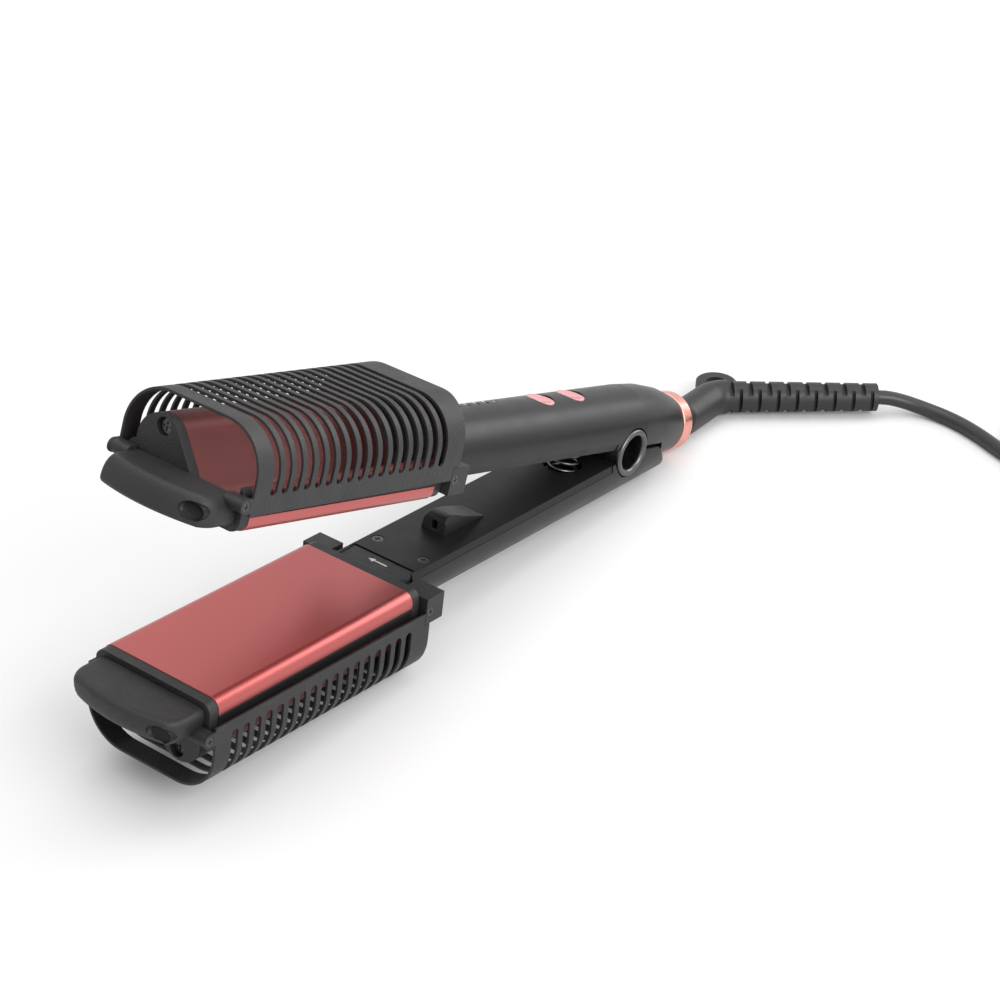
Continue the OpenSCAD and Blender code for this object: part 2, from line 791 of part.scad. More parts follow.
// Smooth boot that bends to the table, a ribbed flexible part and a flat
// hanging loop, moulded in one. Its core runs into the handle.
module strain_relief() {
    bend = [for (t = [0:8:rib_turn])
        [bend_x + bend_r * sin(t), -bend_r * (1 - cos(t)), boot_z]];
    boot = concat([on_tail(collar_end + 0.5), on_tail(collar_end + 2.5)], boot_route, bend);
    color(black) {
        upper() rod_x(34, collar_end + 1.2, lead_d / 2, 0, ring_z);
        difference() {
            union() {
                tube(boot, [for (i = [0:len(boot) - 1]) 8.05 - 0.05 * i], 32);
                translate(rib_start) rotate([0, 0, -rib_turn]) difference() {
                    rotate([0, 90, 0]) cylinder(h = rib_count * rib_pitch, r1 = 7, r2 = 6.2);
                    rib_notches();
                }
                translate(loop_at) cylinder(h = 3, r = loop_r, center = true);
                translate(rib_start + [0, 0, -2.5]) rotate([0, 0, -rib_turn])
                    translate([3, 0, 0]) cube([5, 6, 3]);
            }
            translate(loop_at) cylinder(h = 30, r = loop_hole, center = true);
        }
    }
}

module coil_outline(grow) {
    a = coil_in - grow;
    b = coil_out + grow;
    c = 2;
    polygon([[a + c, coil_z[0]], [b - c, coil_z[0]], [b, coil_z[0] + c], [b, coil_z[1] - c],
        [b - c, coil_z[1] + grow], [a + c, coil_z[1] + grow], [a, coil_z[1] - c],
        [a, coil_z[0] + c]]);
}

module lead_coil() {
    color(black) translate(coil_at) rotate_extrude() coil_outline(0);
}

// Tie round the coil's turns.
module coil_tie() {
    color(dark) translate(coil_at) intersection() {
        rotate_extrude() difference() {
            translate([coil_in - 1, 0.05]) square([coil_out - coil_in + 2, coil_z[1] + 0.9]);
            coil_outline(0);
        }
        rotate(-90) translate([0, -4, -1]) cube([80, 8, 30]);
    }
}

module at_plug() {
    translate(plug_route[len(plug_route) - 1]) rotate(plug_turn) children();
}

module plug_slab(l, w, h) {
    c = 3.5;
    along_x(0, l) polygon([[-w / 2, -h / 2 + c], [-w / 2 + c, -h / 2], [w / 2 - c, -h / 2],
        [w / 2, -h / 2 + c], [w / 2, h / 2 - c], [w / 2 - c, h / 2], [-w / 2 + c, h / 2],
        [-w / 2, h / 2 - c]]);
}

// Flat two-pin plug: a flat face, a waist for the fingers and a round tail.
module plug_body() {
    color(black) at_plug() {
        hull() {
            translate([plug_l - 9, 0, 0]) plug_slab(9, plug_w, plug_h);
            translate([plug_l - 16, 0, 0]) plug_slab(1, 27, plug_h);
        }
        hull() {
            translate([plug_l - 16, 0, 0]) plug_slab(1, 27, plug_h);
            translate([8, 0, 0]) plug_slab(1, 15, 11);
        }
        rod_x(0, 9, 4.8);
    }
}

module plug_pins() {
    color(steel) at_plug() both_sides() {
        rod_x(plug_l, plug_l + pin_l - 1, pin_r, pin_gap / 2);
        rod_x(plug_l + pin_l - 1.5, plug_l + pin_l, pin_r - 0.5, pin_gap / 2);
    }
}

// ---------- Pieces ----------

upper() upper_handle_shell();
upper() inner_cover(true);  // upper_inner_cover
upper() cover_screws();  // upper_cover_screws
upper() neck();  // upper_neck
upper() cage(slot_top[0]);  // upper_cage
upper() cool_tip();  // upper_cool_tip
upper() side_screws();  // upper_side_screws
upper() pivot_pins();  // upper_pivot_pins
upper() control_board();
upper() indicator_lights();
upper() end_ring();
upper() press_button(button_x[0]);  // power_button
upper() press_button(button_x[1]);  // mode_button
upper() release_button();  // upper_release_button
upper_core() flat_plate();  // upper_flat_plate
upper_core() wave_plate();  // upper_wave_plate
upper_core() core_rails();  // upper_core_rails
upper_core() end_cap(front_x);  // upper_front_cap
upper_core() end_cap(plate_end);  // upper_rear_cap
upper_core() cap_screw();  // upper_cap_screw
upper_core() flat_heater();  // upper_flat_heater
upper_core() wave_heater();  // upper_wave_heater
upper_core() thermal_fuse();  // upper_thermal_fuse
lower() lower_arm_shell();
lower() inner_cover(false);  // lower_inner_cover
lower() cover_screws();  // lower_cover_screws
lower() neck();  // lower_neck
lower() cage(slot_top[1]);  // lower_cage
lower() cool_tip();  // lower_cool_tip
lower() side_screws();  // lower_side_screws
lower() pivot_pins();  // lower_pivot_pins
lower() centring_wedge();
lower() hinge_tube();
opening_spring();
lower() release_button();  // lower_release_button
lower() flat_plate();  // lower_flat_plate
lower() wave_plate();  // lower_wave_plate
lower() core_rails();  // lower_core_rails
lower() end_cap(front_x);  // lower_front_cap
lower() end_cap(plate_end);  // lower_rear_cap
lower() cap_screw();  // lower_cap_screw
lower() flat_heater();  // lower_flat_heater
lower() wave_heater();  // lower_wave_heater
lower() thermal_fuse();  // lower_thermal_fuse
upper() swivel_collar();
strain_relief();
lead_tube(lead_route);  // mains_lead
lead_coil();
coil_tie();
lead_tube(plug_route);  // plug_lead
plug_body();
plug_pins();
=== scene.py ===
import json
import math

import bmesh
import bpy
from bpy.props import FloatProperty, FloatVectorProperty, IntProperty, PointerProperty
from mathutils import Matrix, Vector


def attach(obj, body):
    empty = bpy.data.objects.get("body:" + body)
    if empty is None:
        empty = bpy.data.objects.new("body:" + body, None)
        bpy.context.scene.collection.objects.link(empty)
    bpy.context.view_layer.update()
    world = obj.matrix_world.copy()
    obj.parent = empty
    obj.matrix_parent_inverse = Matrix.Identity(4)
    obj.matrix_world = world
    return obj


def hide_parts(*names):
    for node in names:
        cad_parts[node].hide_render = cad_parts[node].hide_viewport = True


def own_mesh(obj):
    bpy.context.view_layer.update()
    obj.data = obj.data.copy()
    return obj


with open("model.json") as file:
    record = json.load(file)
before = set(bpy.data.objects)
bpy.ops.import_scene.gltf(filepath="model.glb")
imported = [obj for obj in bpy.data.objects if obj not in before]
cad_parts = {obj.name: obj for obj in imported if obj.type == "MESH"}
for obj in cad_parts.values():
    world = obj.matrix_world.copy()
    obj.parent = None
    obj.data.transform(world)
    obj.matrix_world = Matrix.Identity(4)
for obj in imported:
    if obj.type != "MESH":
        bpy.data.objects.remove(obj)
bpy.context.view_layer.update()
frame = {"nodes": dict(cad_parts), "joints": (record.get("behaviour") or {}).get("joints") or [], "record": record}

bl_info = {
    "name": "Hair Waver",
    "version": (1, 0, 0),
    "blender": (4, 5, 0),
    "location": "View3D > Sidebar > Hair Waver",
    "description": "Builds a hair waver with turnable plates around its packed frame",
    "category": "Add Mesh",
}

MM = 0.001
SHARP_EDGE = math.radians(50)   # the angle from which an edge is shaded hard
NODES = frame["nodes"]
JOINTS = {joint["name"]: joint for joint in frame["joints"]}
HINGE = Vector(JOINTS["arm_hinge"]["pos_m"])


def arm_matrix(along, mirrored):
    """Arm space, with x along the arm and z = 0 where the plates meet, to the row frame."""
    along = Vector(along).normalized()
    across = Vector((0, 1, 0))
    up = along.cross(across)
    if mirrored:
        up = -up
    matrix = Matrix((along, across, up)).transposed().to_4x4()
    matrix.translation = HINGE
    return matrix


LOWER = arm_matrix(JOINTS["lower_core_turn"]["axis"], False)
UPPER = arm_matrix(JOINTS["upper_core_turn"]["axis"], True)
UPPER_CORE = UPPER @ Matrix.Diagonal((1, -1, 1, 1))


# ---------- Sizes and colours ----------


def length(name, description, millimetres):
    """A length of the panel, given in millimetres."""
    return FloatProperty(name=name, description=description, default=millimetres * MM,
                         unit="LENGTH", precision=5)


def colour(name, description, rgb):
    """A colour of the panel."""
    return FloatVectorProperty(name=name, description=description, default=rgb, size=3,
                               subtype="COLOR", min=0, max=1)


def number(name, description, value):
    """A plain number of the panel."""
    return FloatProperty(name=name, description=description, default=value, min=0, max=10)


def count(name, description, value):
    """A whole number of the panel."""
    return IntProperty(name=name, description=description, default=value, min=1, max=100)


class WaverSizes(bpy.types.PropertyGroup):
    edge: length("Edge rounding", "Rounding of the moulded edges", 0.35)
    fine_edge: length("Fine edge rounding", "Rounding of thin walls and trim", 0.2)
    slots: count("Slots", "Cooling slots in each cage", 17)
    slot_pitch: length("Slot pitch", "Distance from slot to slot", 6.1)
    slot_width: length("Slot width", "Width of a slot", 3.4)
    spring_turns: number("Spring turns", "Turns of the opening spring", 6.5)
    spring_wire: length("Spring wire", "Diameter of the spring's wire", 1.4)
    lead_diameter: length("Lead diameter", "Diameter of the mains lead", 6.4)
    coil_turn: length("Coil turn", "Distance from turn to turn in the coil", 6.45)
    coil_radius: length("Coil radius", "Radius at which the lead joins the coil", 47.4)


class WaverColours(bpy.types.PropertyGroup):
    grained: colour("Grained black", "Cages, necks, tips and caps", (0.021, 0.021, 0.022))
    satin: colour("Satin black", "Handle and lower arm", (0.010, 0.010, 0.011))
    inner: colour("Inner black", "Covers, rails and wedge", (0.010, 0.010, 0.010))
    plate: colour("Plate rose", "Coating of the flat plates", (0.50, 0.115, 0.110))
    # Painted shade: the wave plates have the same rose coat as the flat plates, and this far darker colour stands
    # in for the shade inside the cage
    wave: colour("Wave rose", "Coating of the wave plates", (0.15, 0.032, 0.029))
    button: colour("Button rose", "The two buttons on the handle", (0.78, 0.30, 0.32))
    rose_gold: colour("Rose gold", "End ring", (0.82, 0.36, 0.30))
    dark_chrome: colour("Dark chrome", "Hinge tube", (0.13, 0.125, 0.13))
    lead: colour("Lead black", "Lead, strain relief and plug", (0.022, 0.022, 0.023))
    print_white: colour("Print white", "Arrows on the necks", (0.80, 0.80, 0.79))


# ---------- Materials ----------


def add(tree, kind, inputs=None, **settings):
    """Adds a node; a socket as an input's value is linked to it."""
    made = tree.nodes.new(kind)
    for name, value in settings.items():
        setattr(made, name, value)
    for name, value in (inputs or {}).items():
        if isinstance(value, bpy.types.NodeSocket):
            tree.links.new(value, made.inputs[name])
        else:
            made.inputs[name].default_value = value
    return made


def material_named(name, base, roughness, metallic=0.0):
    """A new material, its tree, its shader and the piece's object coordinates."""
    made = bpy.data.materials.new(name)
    made.use_nodes = True
    tree = made.node_tree
    shader = tree.nodes["Principled BSDF"]
    shader.inputs["Base Color"].default_value = (*base, 1)
    shader.inputs["Roughness"].default_value = roughness
    shader.inputs["Metallic"].default_value = metallic
    made.diffuse_color = (*base, 1)
    place = add(tree, "ShaderNodeTexCoord").outputs["Object"]
    return made, tree, shader, place


def varied_colour(tree, shader, place, base, scale, spread):
    """Slow, faint changes of tone over the surface."""
    cloud = add(tree, "ShaderNodeTexNoise", {"Vector": place, "Scale": scale, "Detail": 4.0})
    ramp = add(tree, "ShaderNodeValToRGB", {"Fac": cloud.outputs["Fac"]})
    ramp.color_ramp.elements[0].position = 0.3
    ramp.color_ramp.elements[1].position = 0.7
    ramp.color_ramp.elements[0].color = (*[c * (1 - spread) for c in base], 1)
    ramp.color_ramp.elements[1].color = (*[min(1, c * (1 + spread)) for c in base], 1)
    tree.links.new(ramp.outputs["Color"], shader.inputs["Base Color"])


def varied_roughness(tree, shader, place, low, high, scale):
    """Slow changes of gloss over the surface."""
    wear = add(tree, "ShaderNodeTexNoise", {"Vector": place, "Scale": scale, "Detail": 3.0})
    spread = add(tree, "ShaderNodeMapRange", {"Value": wear.outputs["Fac"], "From Min": 0.3,
                                              "From Max": 0.7, "To Min": low, "To Max": high})
    tree.links.new(spread.outputs["Result"], shader.inputs["Roughness"])


def grained_plastic(name, base, roughness, grain, depth, spread=0.12):
    """Moulded plastic with a spark-eroded grain; grain is its size and depth its relief."""
    made, tree, shader, place = material_named(name, base, roughness)
    shader.inputs["Specular IOR Level"].default_value = 0.4
    varied_colour(tree, shader, place, base, 90, spread)
    varied_roughness(tree, shader, place, roughness - 0.05, roughness + 0.05, 140)
    cells = add(tree, "ShaderNodeTexNoise", {"Vector": place, "Scale": 1 / grain, "Detail": 2.0,
                                             "Roughness": 0.6})
    bump = add(tree, "ShaderNodeBump", {"Height": cells.outputs["Fac"], "Strength": 1.0,
                                        "Distance": depth})
    tree.links.new(bump.outputs["Normal"], shader.inputs["Normal"])
    return made


def satin_plastic(name, base, roughness, coat=0.0, gloss=0.5):
    """Smooth moulded plastic with a very faint orange peel."""
    made, tree, shader, place = material_named(name, base, roughness)
    shader.inputs["Specular IOR Level"].default_value = gloss
    shader.inputs["Coat Weight"].default_value = coat
    shader.inputs["Coat Roughness"].default_value = 0.12
    varied_colour(tree, shader, place, base, 60, 0.06)
    varied_roughness(tree, shader, place, roughness - 0.03, roughness + 0.04, 110)
    peel = add(tree, "ShaderNodeTexNoise", {"Vector": place, "Scale": 900.0, "Detail": 1.0})
    bump = add(tree, "ShaderNodeBump", {"Height": peel.outputs["Fac"], "Strength": 0.4,
                                        "Distance": 0.02 * MM})
    tree.links.new(bump.outputs["Normal"], shader.inputs["Normal"])
    return made


def coated_metal(name, base, roughness, metallic, coat):
    """Aluminium under a coloured ceramic coat."""
    made, tree, shader, place = material_named(name, base, roughness, metallic)
    shader.inputs["Coat Weight"].default_value = coat
    shader.inputs["Coat Roughness"].default_value = 0.16
    varied_colour(tree, shader, place, base, 7, 0.03)
    return made


def turned_metal(name, base, roughness, lines=1400.0):
    """Bare or plated metal with fine lines."""
    made, tree, shader, place = material_named(name, base, roughness, 1.0)
    stretched = add(tree, "ShaderNodeMapping", {"Vector": place, "Scale": (1.0, 0.15, 0.15)})
    streaks = add(tree, "ShaderNodeTexNoise", {"Vector": stretched.outputs["Vector"],
                                               "Scale": lines, "Detail": 2.0})
    varied_colour(tree, shader, place, base, 120, 0.08)
    varied_roughness(tree, shader, place, max(0.03, roughness - 0.06), roughness + 0.06, 160)
    bump = add(tree, "ShaderNodeBump", {"Height": streaks.outputs["Fac"], "Strength": 0.25,
                                        "Distance": 0.01 * MM})
    tree.links.new(bump.outputs["Normal"], shader.inputs["Normal"])
    return made


FINISHES = {}


def make_finishes(colours):
    """One material for each slot of the record, and two more: wave_rose_painted_shade, print_white."""
    FINISHES.update({
        "grained_black": grained_plastic("grained_black", colours.grained, 0.50, 0.8 * MM,
                                         0.20 * MM),
        "satin_black": satin_plastic("satin_black", colours.satin, 0.33, gloss=0.28),
        "inner_black": satin_plastic("inner_black", colours.inner, 0.42, gloss=0.25),
        "rose_plate": coated_metal("rose_plate", colours.plate, 0.30, 0.7, 0.08),
        # Painted shade: a darker copy of the plate coat, for the wave plates that lie in the cage's shade
        "wave_rose_painted_shade": coated_metal("wave_rose_painted_shade", colours.wave, 0.34, 0.6, 0.05),
        "rose_button": satin_plastic("rose_button", colours.button, 0.25, 0.5),
        "rose_gold": turned_metal("rose_gold", colours.rose_gold, 0.24),
        "dark_chrome": turned_metal("dark_chrome", colours.dark_chrome, 0.32),
        "screw_steel": turned_metal("screw_steel", (0.10, 0.10, 0.105), 0.3),
        "spring_steel": turned_metal("spring_steel", (0.18, 0.18, 0.185), 0.35),
        "print_white": satin_plastic("print_white", colours.print_white, 0.5),
        "heater_aluminium": turned_metal("heater_aluminium", (0.7, 0.7, 0.71), 0.4),
        "heater_ceramic": grained_plastic("heater_ceramic", (0.72, 0.68, 0.58), 0.7, 0.4 * MM,
                                          0.04 * MM),
        "circuit_board": satin_plastic("circuit_board", (0.03, 0.16, 0.08), 0.4, 0.3),
        "light_guide": satin_plastic("light_guide", (0.82, 0.82, 0.81), 0.3, 0.2),
        "soft_black": grained_plastic("soft_black", colours.lead, 0.42, 1.1 * MM, 0.03 * MM,
                                      0.08),
        "lead_black": satin_plastic("lead_black", colours.lead, 0.36),
        "nickel_pin": turned_metal("nickel_pin", (0.66, 0.65, 0.62), 0.2),
    })


def finish_cad_nodes():
    """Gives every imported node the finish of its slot."""
    for entry in frame["record"]["subparts"]:
        node = NODES[entry["node"]]
        node.data.materials.clear()
        node.data.materials.append(FINISHES[entry["material_slot"]])


class WAVER_OT_finishes(bpy.types.Operator):
    """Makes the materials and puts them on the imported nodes"""

    bl_idname = "waver.finishes"
    bl_label = "Finishes"

    def execute(self, context):
        make_finishes(context.scene.waver_colours)
        finish_cad_nodes()
        return {"FINISHED"}


# ---------- Camera, light and floor ----------


def pose_camera(scene):
    """Places the camera, measured from the hinge."""
    lens = bpy.data.cameras.new("camera")
    lens.sensor_width = 36
    lens.lens = 99.02
    lens.shift_x = 0.1244
    lens.shift_y = 0.0584
    lens.clip_start = 0.05
    lens.clip_end = 20
    camera = bpy.data.objects.new("camera", lens)
    right = Vector((0.6332, -0.77339, 0.03034))
    up = Vector((0.40673, 0.36584, 0.8371))
    back = right.cross(up)
    camera.matrix_world = Matrix((right, up, back)).transposed().to_4x4()
    camera.location = Vector((HINGE.x - 0.83755, -0.54141, 0.60949))
    scene.collection.objects.link(camera)
    scene.camera = camera


def area_light(scene, name, place, aim, size, power):
    """A rectangular lamp at a place, turned to its aim."""
    data = bpy.data.lights.new(name, "AREA")
    data.shape = "RECTANGLE"
    data.size, data.size_y = size
    data.energy = power
    lamp = bpy.data.objects.new(name, data)
    lamp.location = place
    lamp.rotation_mode = "QUATERNION"
    lamp.rotation_quaternion = (Vector(aim) - Vector(place)).to_track_quat("-Z", "Y")
    scene.collection.objects.link(lamp)


def seen_white(tree, strength):
    """1 for rays from the camera and for those that gloss and glass send on, else strength."""
    path = add(tree, "ShaderNodeLightPath").outputs
    gloss = add(tree, "ShaderNodeMath", {0: path["Is Glossy Ray"],
                                         1: path["Is Transmission Ray"]},
                operation="MAXIMUM").outputs[0]
    seen = add(tree, "ShaderNodeMath", {0: path["Is Camera Ray"], 1: gloss},
               operation="MAXIMUM").outputs[0]
    return add(tree, "ShaderNodeMapRange", {"Value": seen, "To Min": strength,
                                            "To Max": 1.0}).outputs["Result"]


def studio_world(scene):
    """A white surrounding that lights less than it shows."""
    world = bpy.data.worlds.new("studio")
    world.use_nodes = True
    tree = world.node_tree
    tree.nodes["Background"].inputs["Color"].default_value = (1, 1, 1, 1)
    tree.links.new(seen_white(tree, 0.30), tree.nodes["Background"].inputs["Strength"])
    scene.world = world


def floor_material():
    """White that keeps the shadows: its own light is only seen, and fades where it is covered."""
    made, tree, shader, place = material_named("floor_white", (0.86, 0.86, 0.86), 0.9)
    glow = add(tree, "ShaderNodeEmission", {"Color": (1, 1, 1, 1), "Strength": 1.2})
    open_sky = add(tree, "ShaderNodeAmbientOcclusion", {"Distance": 0.08}).outputs["AO"]
    away = add(tree, "ShaderNodeVectorMath", {0: place}, operation="LENGTH").outputs["Value"]
    own = add(tree, "ShaderNodeMapRange", {"Value": away, "From Min": 0.6, "From Max": 1.4,
                                           "To Min": 0.5, "To Max": 1.0}).outputs["Result"]
    seen = add(tree, "ShaderNodeLightPath").outputs["Is Camera Ray"]
    share = maths(tree, "MULTIPLY", maths(tree, "MULTIPLY", seen, own),
                  maths(tree, "POWER", open_sky, 2.0))
    mixed = add(tree, "ShaderNodeMixShader", {"Fac": share, 1: shader.outputs["BSDF"],
                                              2: glow.outputs["Emission"]})
    tree.links.new(mixed.outputs["Shader"], tree.nodes["Material Output"].inputs["Surface"])
    return made


class WAVER_OT_stage(bpy.types.Operator):
    """Places the camera, the lights and the floor"""

    bl_idname = "waver.stage"
    bl_label = "Stage"

    def execute(self, context):
        scene = context.scene
        scene.view_settings.view_transform = "Standard"
        pose_camera(scene)
        studio_world(scene)
        area_light(scene, "key", (-0.3, -1.3, 1.0), (0, 0, 0.03), (1.2, 1.0), 19)
        area_light(scene, "top", (0.1, 0.2, 1.6), (0, 0, 0), (1.6, 1.2), 11)
        area_light(scene, "side", (1.3, -0.5, 0.7), (0, 0, 0.05), (0.9, 0.9), 8)
        mesh = bpy.data.meshes.new("floor")
        reach = 6
        mesh.from_pydata([(-reach, -reach, 0), (reach, -reach, 0), (reach, reach, 0),
                          (-reach, reach, 0)], [], [(0, 1, 2, 3)])
        mesh.materials.append(floor_material())
        floor = bpy.data.objects.new("floor", mesh)
        scene.collection.objects.link(floor)
        return {"FINISHED"}


# ---------- Making pieces ----------


def to_scene(name, data, finish, body, stands_for=()):
    """Links a mesh or curve as a piece that rides on a body and stands for CAD nodes."""
    data.materials.clear()
    data.materials.append(FINISHES[finish])
    piece = bpy.data.objects.new(name, data)
    bpy.context.scene.collection.objects.link(piece)
    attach(piece, body)
    if stands_for:
        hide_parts(*stands_for)
    return piece


BODY_OF = {node: body for body, nodes in frame["record"]["behaviour"]["bodies"].items()
           for node in nodes}
SLOT_OF = {entry["node"]: entry["material_slot"] for entry in frame["record"]["subparts"]}
ARMS = {"upper": UPPER, "lower": LOWER}

# Stations along an arm and across it, in millimetres of arm space.
FRONT = -273.2
CAGE_END = -150.0
HALF_CAGE = 30.75
CAGE_DEPTH = 37.8
CAGE_CORNER = 17.5
CAGE_WALL = 1.1
CAGE_TILT = math.radians(0.5)
CUT_FROM = 18   # where across the cage its rear corners start to be cut back
CUT_WIDTH = 13.75
CUT_BACK = 3
NECK = -155.7
NECK_CUT = ((NECK - 0.3, -40, -14.2), (-140, 40, -4.2))
SLOT_FIRST = -263.0
SLOT_TOP = {"upper": 14.6, "lower": 12.4}
HALF_TIP = 25.0
TIP_LENGTH = 20.0
TIP_BOW = 70.0
TIP_CORNER = 11.0
RELEASE = (-19.4, -8.0)
RELEASE_SIZE = (8.8, 2.9)   # length and end radius of the button
RELEASE_GAP = 0.1
POCKET_FRONT = -289.6
POCKET_REAR = -280.9
BUTTON_JOIN = -286.0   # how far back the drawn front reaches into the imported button
DISH_FRONT = -290.9
DISH_RADII = (3.3, 5.3, 3.35)
EAR_RADIUS = {"cage": 2.7, "tip": 2.5}
LUG = (22, 29.6)            # from and to across the tip
SEAT_DEPTH = 0.9
SIDE_SCREWS = ((-276.4, -12.0), (-153.2, -9.1))
COVER_SCREW = (-134.0, 11.3, -2.2)
CAP_SCREW = (-271.2, -13.0, -24.5)
SPRING_X = -27.0
SPRING_SHIFT = 0.9
SPRING_RADIUS = 6.0
SPRING_REACH = 10.6
TAIL_Z = -4.0


def filled_mesh(name, mesh):
    """The mesh of a bmesh, which is freed."""
    data = bpy.data.meshes.new(name)
    mesh.to_mesh(data)
    mesh.free()
    return data


def helper(name, source):
    """A short-lived object around a mesh or a bmesh."""
    if isinstance(source, bmesh.types.BMesh):
        source = filled_mesh(name, source)
    made = bpy.data.objects.new(name, source)
    bpy.context.scene.collection.objects.link(made)
    return made


def plain(made):
    """The finished shape of a helper as a plain mesh; the helper goes."""
    graph = bpy.context.evaluated_depsgraph_get()
    data = bpy.data.meshes.new_from_object(made.evaluated_get(graph),
                                           preserve_all_data_layers=True, depsgraph=graph)
    bpy.data.objects.remove(made)
    return data


def merged_copy(name):
    """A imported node's mesh with its doubles merged and its flat faces joined."""
    mesh = bmesh.new()
    mesh.from_mesh(NODES[name].data)
    bmesh.ops.remove_doubles(mesh, verts=mesh.verts, dist=1e-6)
    bmesh.ops.dissolve_limit(mesh, angle_limit=math.radians(0.4), verts=mesh.verts,
                             edges=mesh.edges)
    return mesh


def rounded(name, source, width, segments=2, sharp=30):
    """Rounds a shape's hard edges and evens its shading."""
    made = helper(name, source)
    bevel = made.modifiers.new("edges", "BEVEL")
    bevel.width = width
    bevel.segments = segments
    bevel.limit_method = "ANGLE"
    bevel.angle_limit = math.radians(sharp)
    data = plain(made)
    data.shade_smooth()
    data.set_sharp_from_angle(angle=SHARP_EDGE)
    even = helper(name, data)
    even.modifiers.new("shading", "WEIGHTED_NORMAL").keep_sharp = True
    return plain(even)


def carved(name, source, steps):
    """Joins shapes to a shape or cuts them from it, one after the other."""
    made = helper(name, source)
    tools = []
    for operation, tool in steps:
        tools.append(helper(name + "_tool", tool))
        cut = made.modifiers.new("cut", "BOOLEAN")
        cut.operation = operation
        cut.solver = "EXACT"
        cut.object = tools[-1]
    data = plain(made)
    for tool in tools:
        bpy.data.objects.remove(tool)
    return data


def placed(data, matrix):
    """Moves a mesh drawn in millimetres to its place; a mirrored one is turned right again."""
    data.transform(matrix @ Matrix.Scale(MM, 4))
    if matrix.determinant() < 0:
        data.flip_normals()
    return data


def in_arm_space(name, matrix):
    """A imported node's merged mesh in millimetres of arm space, the reverse of placed."""
    mesh = merged_copy(name)
    mesh.transform((matrix @ Matrix.Scale(MM, 4)).inverted())
    if matrix.determinant() < 0:
        bmesh.ops.reverse_faces(mesh, faces=mesh.faces)
    return filled_mesh(name + "_in_arm_space", mesh)


def box(low, high):
    """A block between two corners."""
    mesh = bmesh.new()
    centre = (Vector(low) + Vector(high)) / 2
    size = Vector(high) - Vector(low)
    bmesh.ops.create_cube(mesh, size=1, matrix=Matrix.Translation(centre)
                          @ Matrix.Diagonal((*size, 1)))
    return mesh


def prism(outline, start, end, axis="X"):
    """Extrudes an outline of (y, z) along X, (x, z) along Y or (x, y) along Z."""
    at = {"X": lambda p, t: (t, p[0], p[1]), "Y": lambda p, t: (p[0], t, p[1]),
          "Z": lambda p, t: (p[0], p[1], t)}[axis]
    mesh = bmesh.new()
    rings = [[mesh.verts.new(at(p, t)) for p in outline] for t in (start, end)]
    mesh.faces.new(rings[0])
    mesh.faces.new(list(reversed(rings[1])))
    for i in range(len(outline)):
        j = (i + 1) % len(outline)
        mesh.faces.new((rings[0][i], rings[1][i], rings[1][j], rings[0][j]))
    bmesh.ops.recalc_face_normals(mesh, faces=mesh.faces)
    return mesh


def arc(along, off, radius, start, end, steps=5):
    """Points on an arc round (along, off); the angles are in degrees."""
    angles = [math.radians(start + (end - start) * i / steps) for i in range(steps + 1)]
    return [(along + radius * math.cos(t), off + radius * math.sin(t)) for t in angles]


def oval(centre, long, radius):
    """Outline of a slot with round ends."""
    along, off = centre
    reach = long / 2 - radius
    return (arc(along + reach, off, radius, 90, -90, 16)
            + arc(along - reach, off, radius, 270, 90, 16))


def turned(profile, steps=96, axis="X"):
    """Spins a closed outline of (station, radius) about the X or Y axis."""
    mesh = bmesh.new()
    rings = []
    for i in range(steps):
        c, s = math.cos(2 * math.pi * i / steps), math.sin(2 * math.pi * i / steps)
        rings.append([mesh.verts.new((at, r * c, r * s) if axis == "X" else (r * c, at, r * s))
                      for at, r in profile])
    for i in range(steps):
        a, b = rings[i], rings[(i + 1) % steps]
        for k in range(len(profile)):
            m = (k + 1) % len(profile)
            mesh.faces.new((a[k], a[m], b[m], b[k]))
    bmesh.ops.recalc_face_normals(mesh, faces=mesh.faces)
    return mesh


# ---------- Geometry trees ----------


def shape_tree(name, inputs):
    """A geometry tree with named inputs; gives the tree, its input sockets and its end."""
    tree = bpy.data.node_groups.new(name, "GeometryNodeTree")
    kinds = {"Geometry": "NodeSocketGeometry", "Material": "NodeSocketMaterial",
             "Count": "NodeSocketInt"}
    for label in ["Geometry", "Material", *inputs]:
        tree.interface.new_socket(label, in_out="INPUT",
                                  socket_type=kinds.get(label, "NodeSocketFloat"))
    tree.interface.new_socket("Geometry", in_out="OUTPUT", socket_type="NodeSocketGeometry")
    return tree, tree.nodes.new("NodeGroupInput").outputs, tree.nodes.new("NodeGroupOutput")


def end_tree(tree, ports, end, geometry):
    """Makes the geometry real, coats it and links it to the end of its tree."""
    real = add(tree, "GeometryNodeRealizeInstances", {"Geometry": geometry})
    coated = add(tree, "GeometryNodeSetMaterial", {"Geometry": real.outputs[0],
                                                   "Material": ports["Material"]})
    tree.links.new(coated.outputs[0], end.inputs[0])


def grown(name, tree, finish, values, source=None):
    """Runs a geometry tree with the given sizes and returns its plain mesh."""
    made = helper(name, source or bpy.data.meshes.new(name))
    run = made.modifiers.new("shape", "NODES")
    run.node_group = tree
    values = {"Material": FINISHES[finish], **values}
    for socket in tree.interface.items_tree:
        if socket.in_out == "INPUT" and socket.name in values:
            run[socket.identifier] = values[socket.name]
    return plain(made)


def maths(tree, operation, a, b):
    """A calculation node; gives its result."""
    return add(tree, "ShaderNodeMath", {0: a, 1: b}, operation=operation).outputs[0]


def vector(tree, x=0.0, y=0.0, z=0.0):
    """A node that joins three numbers to a vector."""
    return add(tree, "ShaderNodeCombineXYZ", {"X": x, "Y": y, "Z": z}).outputs[0]


